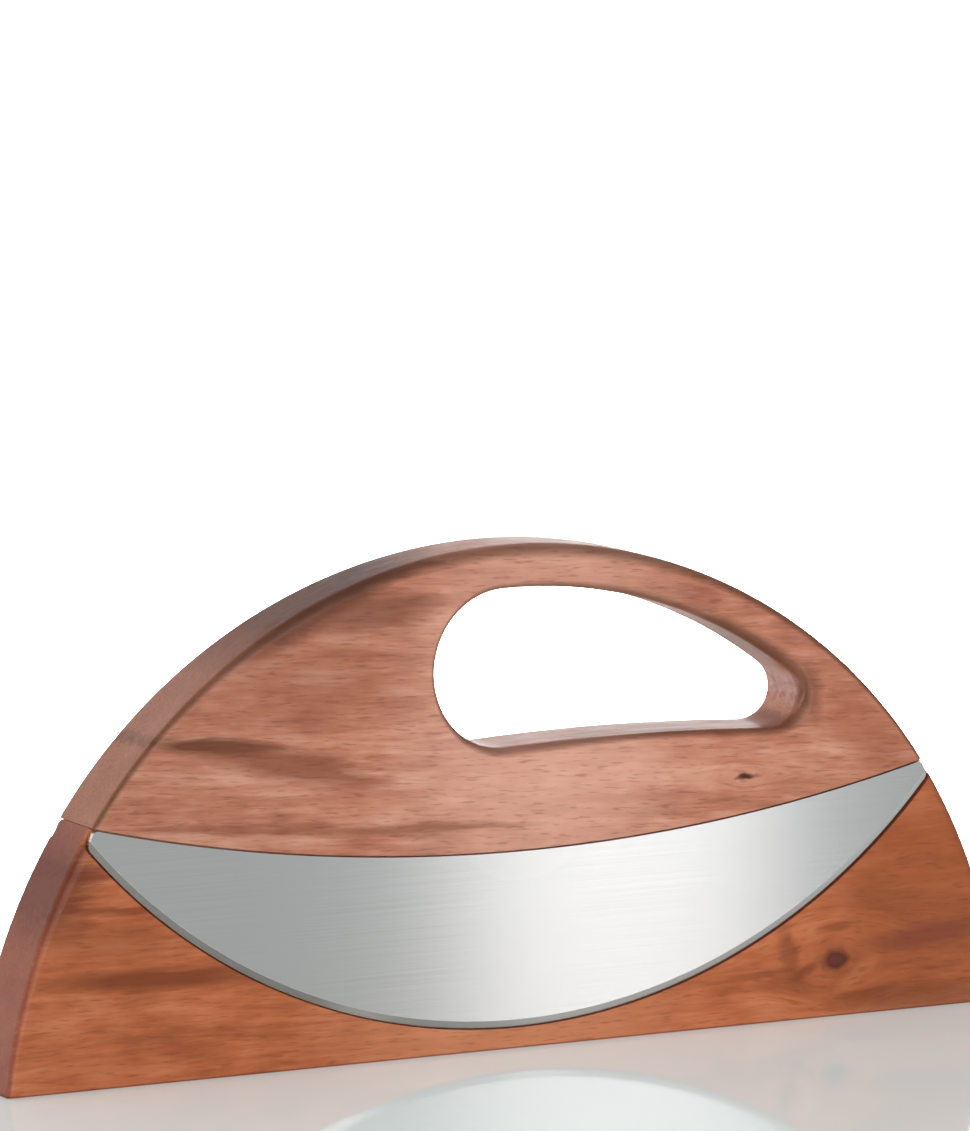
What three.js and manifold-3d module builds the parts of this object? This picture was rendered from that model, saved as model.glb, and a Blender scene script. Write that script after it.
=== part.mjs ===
// Double mezzaluna: a two-bladed rocking knife that nests in its own wooden stand.
// Millimetres, +Z up. X runs along the blades and Y across the thickness, with the front at -Y.
// The origin is on the table, under the middle of the stand.

import * as THREE from "three";
import { mergeVertices } from "three/addons/utils/BufferGeometryUtils.js";
import Module from "manifold-3d";

const wasm = await Module();
wasm.setup();

// Body: handle, blades and stand share one outer arc
const bodyRadius = 126;
const bodyHeight = 113; // table to the top of the handle
const bodyThickness = 18;
const edgeRound = 2; // round-over of the outer edges and of the grip opening

// Grip opening: a wide heel end, a narrow toe end, a bar of even width above and a crowned floor below
const gripBarHeight = 9.6;
const gripHeelRadius = 17.8;
const gripHeelX = -2.8; // centre of the heel round
const gripToeRadius = 7.2;
const gripToeX = 65.3; // centre of the toe round
const gripFloorRadius = 600;

// Blades: crescents between a shallow top arc and the cutting edge's arc
const bladeThickness = 1.8;
const bladeTopHeight = 44.8; // lowest point of the top edge above the table
const bladeTopRadius = 430;
const bladeEdgeHeight = 5; // lowest point of the cutting edge above the table
const bladeEdgeRadius = 139.5;
const bevelWidth = 1.6;
const edgeThickness = 0.2; // flat left at the cutting edge
const tipInset = 1.5; // blade tips behind the body's outer arc

// Tongue: the handle's crescent between the blades, carried by the stand's saddle
const tongueHeight = 28; // lowest point of the tongue above the table

// Studs: pins on the back of each blade, set in blind bores in the tongue
const studCount = 4;
const studSpacing = 44;
const studDiameter = 4;
const studLength = 4.5;

// Clearances
const fitGap = 0.3; // blade to wood, knife to saddle, stud to bore
const edgeGap = 0.7; // cutting edge to the ledge of the rabbet

// Meshing
const chordError = 0.04; // greatest distance of a facet from its arc
const roundSteps = 3; // facets across a round-over
const studSides = 16;
const cutMargin = 5; // how far a cutting solid runs past the wood

// Worked-out places
const bodyCentreZ = bodyHeight - bodyRadius;
const faceY = bodyThickness / 2;
const bladeBackY = faceY - bladeThickness;
const rebateY = bladeBackY - fitGap;
const bladeTopCentreZ = bladeTopHeight + bladeTopRadius;
const bladeEdgeCentreZ = bladeEdgeHeight + bladeEdgeRadius;

// Where the blade's top arc leaves the body's outer arc: both circles are centred on x = 0
const shoulderEnd = onAxisCircles(bodyCentreZ, bodyRadius, bladeTopCentreZ, bladeTopRadius);
// The tongue's arc runs from that point through its own lowest point
const tongueRise = shoulderEnd.y - tongueHeight;
const tongueRadius = (shoulderEnd.x ** 2 + tongueRise ** 2) / (2 * tongueRise);
const tongueCentreZ = tongueHeight + tongueRadius;

const wood = { color: 0xa8674c, roughness: 0.55, metalness: 0 };
const steel = { color: 0xc4c6c4, roughness: 0.32, metalness: 1 };
const handleWood = new THREE.MeshStandardMaterial(wood);
const standWood = new THREE.MeshStandardMaterial({ ...wood, color: 0xa4593a });
const bladeSteel = new THREE.MeshStandardMaterial(steel);
const studSteel = new THREE.MeshStandardMaterial({ ...steel, roughness: 0.45 });

// Right-hand crossing of two circles centred on x = 0, as (x, z)
function onAxisCircles(z1, r1, z2, r2) {
  const z = (r1 ** 2 - r2 ** 2 + z2 ** 2 - z1 ** 2) / (2 * (z2 - z1));
  return new THREE.Vector2(Math.sqrt(r1 ** 2 - (z - z1) ** 2), z);
}

// Lower crossing of two circles in the XZ plane
function lowerCrossing(c1, r1, c2, r2) {
  const between = c2.clone().sub(c1);
  const span = between.length();
  const along = (r1 ** 2 - r2 ** 2 + span ** 2) / (2 * span);
  const across = Math.sqrt(r1 ** 2 - along ** 2);
  between.normalize();
  const right = new THREE.Vector2(between.y, -between.x);
  return c1.clone().addScaledVector(between, along).addScaledVector(right, across);
}

// How many facets keep an arc of this radius and angle within the chord error
function facets(radius, angle) {
  return Math.ceil(angle / (2 * Math.acos(1 - chordError / radius)));
}

// Facets of a whole circle, an even count so that its lowest point is a corner
function fullCircleFacets(radius) {
  return 2 * facets(radius, Math.PI);
}

// Points of an arc in the XZ plane from one angle to the other, without its last point
function arcPoints(centre, radius, from, to, clockwise = false) {
  const sweep = clockwise ? from - to : to - from;
  const turn = (sweep + 2 * Math.PI) % (2 * Math.PI);
  const curve = new THREE.EllipseCurve(centre.x, centre.y, radius, radius, from, to, clockwise);
  return curve.getPoints(facets(radius, turn)).slice(0, -1);
}

function toSolid(geometry) {
  geometry.deleteAttribute("normal");
  geometry.deleteAttribute("uv");
  const merged = mergeVertices(geometry);
  const vertProperties = merged.getAttribute("position").array;
  const triVerts = new Uint32Array(merged.index.array);
  return new wasm.Manifold(new wasm.Mesh({ numProp: 3, vertProperties, triVerts }));
}

function toGeometry(solid) {
  const mesh = solid.getMesh();
  const geometry = new THREE.BufferGeometry();
  geometry.setAttribute("position", new THREE.BufferAttribute(mesh.vertProperties, 3));
  geometry.setIndex(new THREE.BufferAttribute(mesh.triVerts, 1));
  geometry.computeVertexNormals();
  return geometry;
}

// A disc with its axis along Y, centred on x = 0 at the given height, between two depths.
// Growing it leaves its facets parallel to the disc's own, so a gap is even all along.
function disc(centreZ, radius, grow, yFront, yBack) {
  const sides = fullCircleFacets(radius);
  const size = radius + grow;
  const geometry = new THREE.CylinderGeometry(size, size, yBack - yFront, sides);
  geometry.translate(0, (yFront + yBack) / 2, centreZ);
  return toSolid(geometry);
}

// The full outline of handle and stand with rounded edges, from below the table to the top
function roundedBody(holes) {
  const start = halfWidthAt(-cutMargin);
  const centre = new THREE.Vector2(0, bodyCentreZ);
  const from = Math.atan2(-cutMargin - bodyCentreZ, start);
  const shape = new THREE.Shape(arcPoints(centre, bodyRadius, from, Math.PI - from));
  shape.lineTo(-start, -cutMargin);
  shape.closePath();
  shape.holes = holes;
  const depth = bodyThickness - 2 * edgeRound;
  const geometry = new THREE.ExtrudeGeometry(shape, {
    depth,
    bevelThickness: edgeRound,
    bevelSize: edgeRound,
    bevelOffset: -edgeRound,
    bevelSegments: roundSteps,
  });
  geometry.rotateX(Math.PI / 2); // the outline's own y becomes height
  geometry.translate(0, depth / 2, 0);
  return toSolid(geometry);
}

// Half width of the body at a height above the table
function halfWidthAt(z) {
  return Math.sqrt(bodyRadius ** 2 - (z - bodyCentreZ) ** 2);
}

// Grip opening: heel, floor, toe and bar arcs, each tangent to the next, clockwise as a hole
function gripOpening() {
  const barRadius = bodyRadius - gripBarHeight;
  const barCentre = new THREE.Vector2(0, bodyCentreZ);
  const roundCentre = (x, radius) =>
    new THREE.Vector2(x, bodyCentreZ + Math.sqrt((barRadius - radius) ** 2 - x ** 2));
  const heel = roundCentre(gripHeelX, gripHeelRadius);
  const toe = roundCentre(gripToeX, gripToeRadius);
  const floor = lowerCrossing(heel, gripFloorRadius + gripHeelRadius, toe, gripFloorRadius + gripToeRadius);
  const angle = (a, b) => Math.atan2(b.y - a.y, b.x - a.x);
  const heelArc = arcPoints(heel, gripHeelRadius, angle(barCentre, heel), angle(heel, floor));
  const floorArc = arcPoints(floor, gripFloorRadius, angle(floor, heel), angle(floor, toe), true);
  const toeArc = arcPoints(toe, gripToeRadius, angle(toe, floor), angle(barCentre, toe));
  const barArc = arcPoints(barCentre, barRadius, angle(barCentre, toe), angle(barCentre, heel));
  return new THREE.Path([...heelArc, ...floorArc, ...toeArc, ...barArc].reverse());
}

// Places of one blade's studs on its back: midway between the tongue's bottom and the blade's top
function studPlaces() {
  const arcHeight = (centreZ, radius, x) => centreZ - Math.sqrt(radius ** 2 - x ** 2);
  return Array.from({ length: studCount }, (_, i) => {
    const x = (i - (studCount - 1) / 2) * studSpacing;
    const top = arcHeight(bladeTopCentreZ, bladeTopRadius, x);
    const bottom = arcHeight(tongueCentreZ, tongueRadius, x);
    return new THREE.Vector2(x, (top + bottom) / 2);
  });
}

// Blind bore for a stud, open at the tongue's wall; side is -1 at the front and 1 at the rear
function studBore(place, side) {
  const mouth = bladeBackY;
  const depth = studLength + fitGap;
  const radius = studDiameter / 2 + fitGap;
  const geometry = new THREE.CylinderGeometry(radius, radius, depth, studSides);
  geometry.translate(place.x, side * (mouth - depth / 2), place.y);
  return toSolid(geometry);
}

function handleGeometry() {
  const outside = faceY + cutMargin;
  let solid = roundedBody([gripOpening()]);
  solid = solid.intersect(disc(tongueCentreZ, tongueRadius, 0, -outside, outside));
  const aboveShoulder = disc(bladeTopCentreZ, bladeTopRadius, 0, -outside, outside);
  const tongueLayer = disc(tongueCentreZ, tongueRadius, cutMargin, -rebateY, rebateY);
  solid = solid.intersect(aboveShoulder.add(tongueLayer));
  for (const place of studPlaces()) {
    solid = solid.subtract(studBore(place, -1)).subtract(studBore(place, 1));
  }
  return toGeometry(solid);
}

function standGeometry() {
  const outside = faceY + cutMargin;
  const belowTable = new THREE.BoxGeometry(2 * bodyRadius, 2 * outside, 2 * cutMargin);
  belowTable.translate(0, 0, -cutMargin);
  let solid = roundedBody([]).subtract(toSolid(belowTable));
  solid = solid.subtract(disc(tongueCentreZ, tongueRadius, fitGap, -outside, outside));
  for (const [yFront, yBack] of [[-outside, -rebateY], [rebateY, outside]]) {
    solid = solid.subtract(disc(bladeEdgeCentreZ, bladeEdgeRadius, edgeGap, yFront, yBack));
  }
  return toGeometry(solid);
}

// Front blade: flat back towards the tongue, bevel ground on the outer face
function bladeGeometry() {
  const profile = [
    new THREE.Vector2(0, -faceY),
    new THREE.Vector2(bladeEdgeRadius - bevelWidth, -faceY),
    new THREE.Vector2(bladeEdgeRadius, -bladeBackY - edgeThickness),
    new THREE.Vector2(bladeEdgeRadius, -bladeBackY),
    new THREE.Vector2(0, -bladeBackY),
  ];
  const ground = new THREE.LatheGeometry(profile, fullCircleFacets(bladeEdgeRadius));
  ground.translate(0, 0, bladeEdgeCentreZ);
  const outside = faceY + cutMargin;
  const solid = toSolid(ground)
    .intersect(disc(bodyCentreZ, bodyRadius, -tipInset, -outside, outside))
    .subtract(disc(bladeTopCentreZ, bladeTopRadius, fitGap, -outside, outside));
  return toGeometry(solid);
}

// One blade with its studs, at the front
function bladeSet(name) {
  const set = new THREE.Group();
  const blade = new THREE.Mesh(bladeGeometry(), bladeSteel);
  blade.name = name;
  set.add(blade);
  studPlaces().forEach((place, i) => {
    const radius = studDiameter / 2;
    const stud = new THREE.Mesh(new THREE.CylinderGeometry(radius, radius, studLength, studSides), studSteel);
    stud.name = `${name}_stud_${i + 1}`;
    stud.position.set(place.x, -bladeBackY + studLength / 2, place.y);
    set.add(stud);
  });
  return set;
}

const handle = new THREE.Mesh(handleGeometry(), handleWood);
handle.name = "handle";

const frontBlade = bladeSet("front_blade");
const rearBlade = bladeSet("rear_blade");
rearBlade.rotation.z = Math.PI;

const knife = new THREE.Group();
knife.add(handle, frontBlade, rearBlade);

const stand = new THREE.Mesh(standGeometry(), standWood);
stand.name = "stand_block";

const mezzaluna = new THREE.Group();
mezzaluna.add(stand, knife);

export default mezzaluna;
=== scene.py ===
"""Looks of a double mezzaluna: a rocking knife with two crescent blades, nested in its wooden stand."""

import math
from collections import namedtuple

import bmesh
import bpy
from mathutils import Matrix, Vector


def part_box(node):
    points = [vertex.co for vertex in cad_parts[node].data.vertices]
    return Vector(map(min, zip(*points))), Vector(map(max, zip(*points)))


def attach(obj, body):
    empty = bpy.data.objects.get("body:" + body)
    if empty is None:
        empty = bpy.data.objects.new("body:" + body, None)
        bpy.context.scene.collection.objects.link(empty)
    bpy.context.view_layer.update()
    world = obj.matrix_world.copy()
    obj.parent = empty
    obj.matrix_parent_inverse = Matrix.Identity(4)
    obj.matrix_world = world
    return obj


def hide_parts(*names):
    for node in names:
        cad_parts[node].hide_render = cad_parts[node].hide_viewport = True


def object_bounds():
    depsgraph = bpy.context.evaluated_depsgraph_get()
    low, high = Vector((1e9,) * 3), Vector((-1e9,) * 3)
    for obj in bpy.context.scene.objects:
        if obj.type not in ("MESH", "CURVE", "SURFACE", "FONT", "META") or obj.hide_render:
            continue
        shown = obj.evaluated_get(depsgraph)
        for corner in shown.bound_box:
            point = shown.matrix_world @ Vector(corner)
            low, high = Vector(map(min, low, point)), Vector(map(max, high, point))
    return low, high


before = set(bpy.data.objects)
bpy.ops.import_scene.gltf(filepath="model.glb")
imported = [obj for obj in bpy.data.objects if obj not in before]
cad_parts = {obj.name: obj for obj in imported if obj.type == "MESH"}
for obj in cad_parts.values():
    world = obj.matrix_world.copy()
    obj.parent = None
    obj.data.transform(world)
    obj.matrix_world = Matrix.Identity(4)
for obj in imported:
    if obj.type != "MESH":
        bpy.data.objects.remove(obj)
cad_low, cad_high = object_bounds()

MM = 0.001

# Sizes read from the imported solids
HEIGHT = cad_high.z
HALF_WIDTH = (cad_high.x - cad_low.x) / 2
FACE_Y = (cad_high.y - cad_low.y) / 2
HANDLE_LOW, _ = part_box("handle")
BLADE_LOW, BLADE_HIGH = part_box("front_blade")
BLADE_BACK_Y = -BLADE_HIGH.y

# Clearances
FIT_GAP = 0.3 * MM  # blade to wood
SADDLE_GAP = 0.12 * MM  # knife to saddle
SHOULDER_GAP = 0.42 * MM  # blade's top to the handle's shoulder
EDGE_GAP = 0.3 * MM  # cutting edge to the ledge of its rabbet, at its lowest point
LEDGE_FLATTER = 0.9 * MM  # what the ledge's radius has over a snug one: the gap grows towards the tips
REBATE_Y = BLADE_BACK_Y - FIT_GAP

# Blades
SHOULDER_HEIGHT = 44.8 * MM  # lowest point of the handle's shoulder above the table
SHOULDER_RADIUS = 430 * MM
EDGE_RADIUS = 139.5 * MM
BEVEL_WIDTH = 1.6 * MM
EDGE_LAND = 0.2 * MM  # flat left at the cutting edge
FACE_GRIND = 0.45 * MM  # how far the cutting edge lies behind the face
TIP_INSET_TOP = 0.6 * MM  # a tip's upper corner behind the outer arc
TIP_INSET_EDGE = 1.3 * MM  # and its lower corner, at the cutting edge
TIP_ROUND = 0.9 * MM  # how far a tip's corners are eased back
BLADE_STEPS = 220  # facets along a blade
BLADE_ROWS = 16  # rows of facets from the cutting edge to the top
BEVEL_ROWS = 4  # of these, on the bevel

# Grip opening
GRIP_BAR = 9.6 * MM
HEEL_RADIUS = 17.8 * MM
HEEL_X = -2.8 * MM
TOE_RADIUS = 7.2 * MM
TOE_X = 65.3 * MM
FLOOR_RADIUS = 600 * MM

# Round-overs, sanded by hand, so they grow from the joints towards the grip
JOINT_ROUND = 1.3 * MM
TOP_ROUND = 3.2 * MM
STAND_ROUND_LOW = 1.2 * MM  # at the table
STAND_ROUND_HIGH = 1.8 * MM  # at the joint
STAND_REACH_LOW = 1.5 * MM  # how far these come in on the face
STAND_REACH_HIGH = 2.6 * MM
STAND_FOOT_ROUND = 0.6 * MM  # along the edges that stand on the table
# Grip opening's round-over at the start and the middle of each of its arcs
GRIP_ROUNDS = {
    "heel": (1.5 * MM, 1.2 * MM),
    "floor": (2.2 * MM, 1.6 * MM),
    "toe": (1.8 * MM, 3.2 * MM),
    "bar": (3.0 * MM, 2.0 * MM),
}

# Fineness
STEP = 1.0 * MM  # longest facet along an arc
ROUND_STEPS = 8  # facets across a round-over
FOOT_STEPS = 3  # facets across the stand's eased lower edges
BORE_SIDES = 32
SEW = 0.001 * MM  # points closer than this are one
WOOD_SMOOTH = math.radians(40)  # wooden facets that meet at less than this are shaded as one curve
STEEL_SMOOTH = math.radians(10)  # and facets of a blade

# Map (x + y / 2, z + y) of a piece: straight along X on every face, and not degenerate on the rims
GRAIN_MAP = "UVMap"
BEVEL_MARK = "ground_bevel"  # over 0 on a blade's bevels, 1 at the cutting edge
# Where shade is painted on the rounded wooden edges
PAINTED_EDGE_SHADE = "painted_edge_shade"  # 1 in the middle of a rounded wooden edge, 0 on the flats beside it

Arc = namedtuple("Arc", "centre_z radius")


def arc_from_lowest(lowest, radius):
    return Arc(lowest + radius, radius)


def crossing(a, b):
    """Right-hand crossing (x, z) of two circles that are both centred on x = 0."""
    z = (a.radius**2 - b.radius**2 + b.centre_z**2 - a.centre_z**2) / (2 * (b.centre_z - a.centre_z))
    return math.sqrt(a.radius**2 - (z - a.centre_z) ** 2), z


def low_z(arc, x):
    """Height of an arc's lower side at x."""
    return arc.centre_z - math.sqrt(arc.radius**2 - x * x)


def grown(arc, by):
    return Arc(arc.centre_z, arc.radius + by)


BODY_RADIUS = (HALF_WIDTH**2 + HEIGHT**2) / (2 * HEIGHT)
BODY = Arc(HEIGHT - BODY_RADIUS, BODY_RADIUS)
SHOULDER = arc_from_lowest(SHOULDER_HEIGHT, SHOULDER_RADIUS)
EDGE = arc_from_lowest(BLADE_LOW.z, EDGE_RADIUS)
SHOULDER_END = crossing(BODY, SHOULDER)
TONGUE_RISE = SHOULDER_END[1] - HANDLE_LOW.z
TONGUE_RADIUS = (SHOULDER_END[0] ** 2 + TONGUE_RISE**2) / (2 * TONGUE_RISE)
TONGUE = arc_from_lowest(HANDLE_LOW.z, TONGUE_RADIUS)


def mix(a, b, share):
    return a + (b - a) * share


def ease(share):
    return share * share * (3 - 2 * share)


# Meshes


class Shell:
    """Strips of one wooden piece, sewn into a closed mesh."""

    def __init__(self):
        self.bm = bmesh.new()
        self.eased = self.bm.verts.layers.float.new(PAINTED_EDGE_SHADE)

    def strip(self, rows, marks=()):
        """Quads between rows of points, each as long as the next, with the rows' marks for the painted
        shade on rounded edges.
        """
        made = [[self.bm.verts.new(p) for p in row] for row in rows]
        for row, mark in zip(made, marks):
            for vert in row:
                vert[self.eased] = mark
        for upper, lower in zip(made, made[1:]):
            for i in range(len(upper) - 1):
                self.bm.faces.new((upper[i], upper[i + 1], lower[i + 1], lower[i]))

    def patch(self, points):
        """One flat face."""
        self.bm.faces.new([self.bm.verts.new(p) for p in points])

    def both_sides(self, make, *points):
        """A strip or patch at the front, and its mirror image at the rear."""
        make(*points)
        make(*[mirrored_y(p) for p in points])

    def cap(self, axis, place):
        """Fills the open outline that lies in a plane across one axis."""
        on_plane = [
            e
            for e in self.bm.edges
            if e.is_boundary and all(abs(v.co[axis] - place) < SEW for v in e.verts)
        ]
        bmesh.ops.triangle_fill(self.bm, edges=on_plane, use_beauty=True)

    def sew(self):
        """Joins the strips where their points meet."""
        bmesh.ops.remove_doubles(self.bm, verts=self.bm.verts, dist=SEW)

    def ease_foot(self, radius):
        """Rounds the edges that lie on the table, and marks them for a painted contact shadow."""
        bmesh.ops.recalc_face_normals(self.bm, faces=self.bm.faces)
        outline = [
            e
            for e in self.bm.edges
            if all(abs(v.co.z) < SEW for v in e.verts) and e.calc_face_angle() > WOOD_SMOOTH
        ]
        made = bmesh.ops.bevel(
            self.bm,
            geom=outline,
            offset=radius,
            segments=FOOT_STEPS,
            profile=0.5,
            affect="EDGES",
            clamp_overlap=True,
        )
        # Painted contact shadow: the rounded foot is marked for the edge shade
        for vert in made["verts"]:
            vert[self.eased] = 1.0 if SEW < vert.co.z < radius - SEW else 0.0

    def finished(self, name):
        """The piece as an object, with its grain map and smooth shading."""
        bmesh.ops.recalc_face_normals(self.bm, faces=self.bm.faces)
        for edge in self.bm.edges:
            edge.smooth = len(edge.link_faces) == 2 and edge.calc_face_angle() < WOOD_SMOOTH
        for face in self.bm.faces:
            face.smooth = True
        along = self.bm.loops.layers.uv.new(GRAIN_MAP)
        for face in self.bm.faces:
            for corner in face.loops:
                x, y, z = corner.vert.co
                corner[along].uv = (x + y / 2, z + y)
        mesh = bpy.data.meshes.new(name)
        self.bm.to_mesh(mesh)
        self.bm.free()
        piece = bpy.data.objects.new(name, mesh)
        bpy.context.scene.collection.objects.link(piece)
        flat_faces = piece.modifiers.new("flat_faces_stay_flat", "WEIGHTED_NORMAL")
        flat_faces.keep_sharp = True
        return piece


def mirrored_y(points):
    """Rows of points, or one row, on the other side of the plane y = 0."""
    if isinstance(points, Vector):
        return Vector((points.x, -points.y, points.z))
    return [mirrored_y(p) for p in points]


def mirrored_x(points):
    """Rows of points, or one row, on the other side of the plane x = 0."""
    if isinstance(points, Vector):
        return Vector((-points.x, points.y, points.z))
    return [mirrored_x(p) for p in points]


def round_steps():
    """Steps across a round-over: how far in from the outline, and how far back from the face.

    Both are shares of its radius.
    """
    for k in range(ROUND_STEPS + 1):
        turn = k / ROUND_STEPS * math.pi / 2
        yield 1 - math.sin(turn), 1 - math.cos(turn)


def edge_marks(rows):
    """Marks of the rows across a round-over and of their mirror images at the rear, for the painted edge
    shade.
    """
    marks = [math.sin(min(k / ROUND_STEPS, 1) * math.pi) for k in range(len(rows))]
    return marks + marks[::-1]


def on_circle(centre, radius, angle, y):
    return Vector((centre[0] + radius * math.cos(angle), y, centre[1] + radius * math.sin(angle)))


def angle_on_body(point):
    return math.atan2(point[1] - BODY.centre_z, point[0])


def steps_along(length):
    return max(2, math.ceil(length / STEP))


def handle_edge_rows():
    """Rows over the handle's outer arc, from the front face to the rebate's depth.

    Each runs from the right joint to the left.
    """
    span = math.pi - 2 * angle_on_body(SHOULDER_END)
    count = steps_along(span * BODY.radius)
    rows = []
    for inset, back in round_steps():
        start = angle_on_body(crossing(grown(BODY, -inset * JOINT_ROUND), SHOULDER))
        row = []
        for i in range(count + 1):
            share = i / count
            radius = mix(JOINT_ROUND, TOP_ROUND, ease(1 - abs(2 * share - 1)))
            angle = mix(start, math.pi - start, share)
            y = -FACE_Y + back * radius
            row.append(on_circle((0, BODY.centre_z), BODY.radius - inset * radius, angle, y))
        rows.append(row)
    rebate = FACE_Y - REBATE_Y
    last = rows[-1]
    rows.append([Vector((p.x, max(-REBATE_Y, p.y + (rebate - JOINT_ROUND)), p.z)) for p in last])
    return rows


def grip_arcs():
    """The grip opening's arcs in order: name, centre, radius, first angle, turn, and the way to the wood.

    That way is 1 where the wood lies outside the arc's circle, and -1 where it lies inside.
    """
    bar = grown(BODY, -GRIP_BAR)

    def round_centre(x, radius):
        return x, bar.centre_z + math.sqrt((bar.radius - radius) ** 2 - x * x)

    def direction(a, b):
        return math.atan2(b[1] - a[1], b[0] - a[0])

    heel = round_centre(HEEL_X, HEEL_RADIUS)
    toe = round_centre(TOE_X, TOE_RADIUS)
    middle = (0, bar.centre_z)
    floor = below_both(heel, FLOOR_RADIUS + HEEL_RADIUS, toe, FLOOR_RADIUS + TOE_RADIUS)
    to_heel, to_toe = direction(middle, heel), direction(middle, toe)
    from_heel, from_toe = direction(heel, floor), direction(toe, floor)
    whole = 2 * math.pi
    yield "heel", heel, HEEL_RADIUS, to_heel, (from_heel - to_heel) % whole, 1
    yield "floor", floor, FLOOR_RADIUS, from_heel + math.pi, -((from_heel - from_toe) % whole), -1
    yield "toe", toe, TOE_RADIUS, from_toe, (to_toe - from_toe) % whole, 1
    yield "bar", middle, bar.radius, to_toe, (to_heel - to_toe) % whole, 1


def below_both(a, reach_a, b, reach_b):
    """The lower point at one reach from a and at another from b."""
    a, b = Vector(a), Vector(b)
    across = b - a
    span = across.length
    along = (reach_a**2 - reach_b**2 + span**2) / (2 * span)
    out = math.sqrt(reach_a**2 - along**2)
    across.normalize()
    return a + across * along + Vector((across.y, -across.x)) * out


def grip_rows():
    """Rows over the grip opening's round-over, from the front face inwards, each a closed loop."""
    stations = []
    names = list(GRIP_ROUNDS)
    for name, centre, radius, first, turn, wood in grip_arcs():
        start, half = GRIP_ROUNDS[name]
        end = GRIP_ROUNDS[names[(names.index(name) + 1) % len(names)]][0]
        count = steps_along(abs(turn) * radius)
        for i in range(count):
            share = i / count
            a, b, part = (start, half, share * 2) if share < 0.5 else (half, end, share * 2 - 1)
            stations.append((centre, radius, first + turn * share, wood, mix(a, b, ease(part))))
    stations.append(stations[0])
    return [
        [on_circle(c, r + w * inset * rnd, a, -FACE_Y + back * rnd) for c, r, a, w, rnd in stations]
        for inset, back in round_steps()
    ]


def along_low_arc(arc, half_length, y):
    """Points on an arc's lower side, from right to left."""
    count = steps_along(2 * half_length)
    xs = [mix(half_length, -half_length, i / count) for i in range(count + 1)]
    return [Vector((x, y, low_z(arc, x))) for x in xs]


def moved_y(row, y):
    return [Vector((p.x, y, p.z)) for p in row]


def ledge(shell, arc, end_column):
    """A flat step along an arc, from the face to the rebate's wall; gives its row at the wall.

    Its ends follow the rounded outer edge.
    """
    front = along_low_arc(arc, end_column[0].x, -FACE_Y)
    inner = moved_y(front, -REBATE_Y)
    shell.both_sides(shell.strip, [front, inner])
    right_end = [*end_column, inner[0]]
    shell.both_sides(shell.patch, right_end)
    shell.both_sides(shell.patch, mirrored_x(right_end))
    return inner


def front_studs():
    return [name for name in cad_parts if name.startswith("front_blade_stud_")]


def stud_bore(low, high):
    """Rows of a blind bore in the tongue's front wall, round the stud in that box."""
    centre = ((low.x + high.x) / 2, (low.z + high.z) / 2)
    radius = (high.x - low.x) / 2 + FIT_GAP
    turns = [2 * math.pi * i / BORE_SIDES for i in range(BORE_SIDES + 1)]
    return [[on_circle(centre, radius, a, y) for a in turns] for y in (-REBATE_Y, high.y + FIT_GAP)]


def handle():
    """Handle: rounded outer arc and grip opening, a shoulder on each face, a tongue between blades."""
    shell = Shell()
    edge = handle_edge_rows()
    shell.strip(edge + mirrored_y(edge[::-1]), edge_marks(edge))
    grip = grip_rows()
    shell.strip(grip + mirrored_y(grip[::-1]), edge_marks(grip))
    wall_top = ledge(shell, SHOULDER, [row[0] for row in edge])
    wall_foot = [Vector((p.x, p.y, low_z(TONGUE, p.x))) for p in wall_top]
    sole = [edge[-1][0], *wall_foot, edge[-1][-1]]
    shell.strip([sole, mirrored_y(sole)])
    for stud in front_studs():
        bore = stud_bore(*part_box(stud))
        shell.both_sides(shell.strip, bore)
        shell.both_sides(shell.patch, bore[-1][:-1])
    shell.sew()
    for side in (-1, 1):
        shell.cap(1, side * FACE_Y)
        shell.cap(1, side * REBATE_Y)
    return shell.finished("handle_acacia")


def stand_edge_rows(ledge_arc):
    """Rows over the stand's right-hand end, from the front face to the rebate's depth.

    Each runs from the table to the ledge.
    """
    count = steps_along(BODY.radius * angle_on_body(crossing(BODY, ledge_arc)))
    rows = []
    for inset, back in round_steps():
        foot = math.asin(-BODY.centre_z / (BODY.radius - inset * STAND_REACH_LOW))
        top = angle_on_body(crossing(grown(BODY, -inset * STAND_REACH_HIGH), ledge_arc))
        row = []
        for i in range(count + 1):
            share = i / count
            reach = mix(STAND_REACH_LOW, STAND_REACH_HIGH, share)
            depth = mix(STAND_ROUND_LOW, STAND_ROUND_HIGH, share)
            angle = mix(foot, top, share)
            y = -FACE_Y + back * depth
            row.append(on_circle((0, BODY.centre_z), BODY.radius - inset * reach, angle, y))
        rows.append(row)
    rows.append(moved_y(rows[-1], -REBATE_Y))
    return rows


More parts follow.
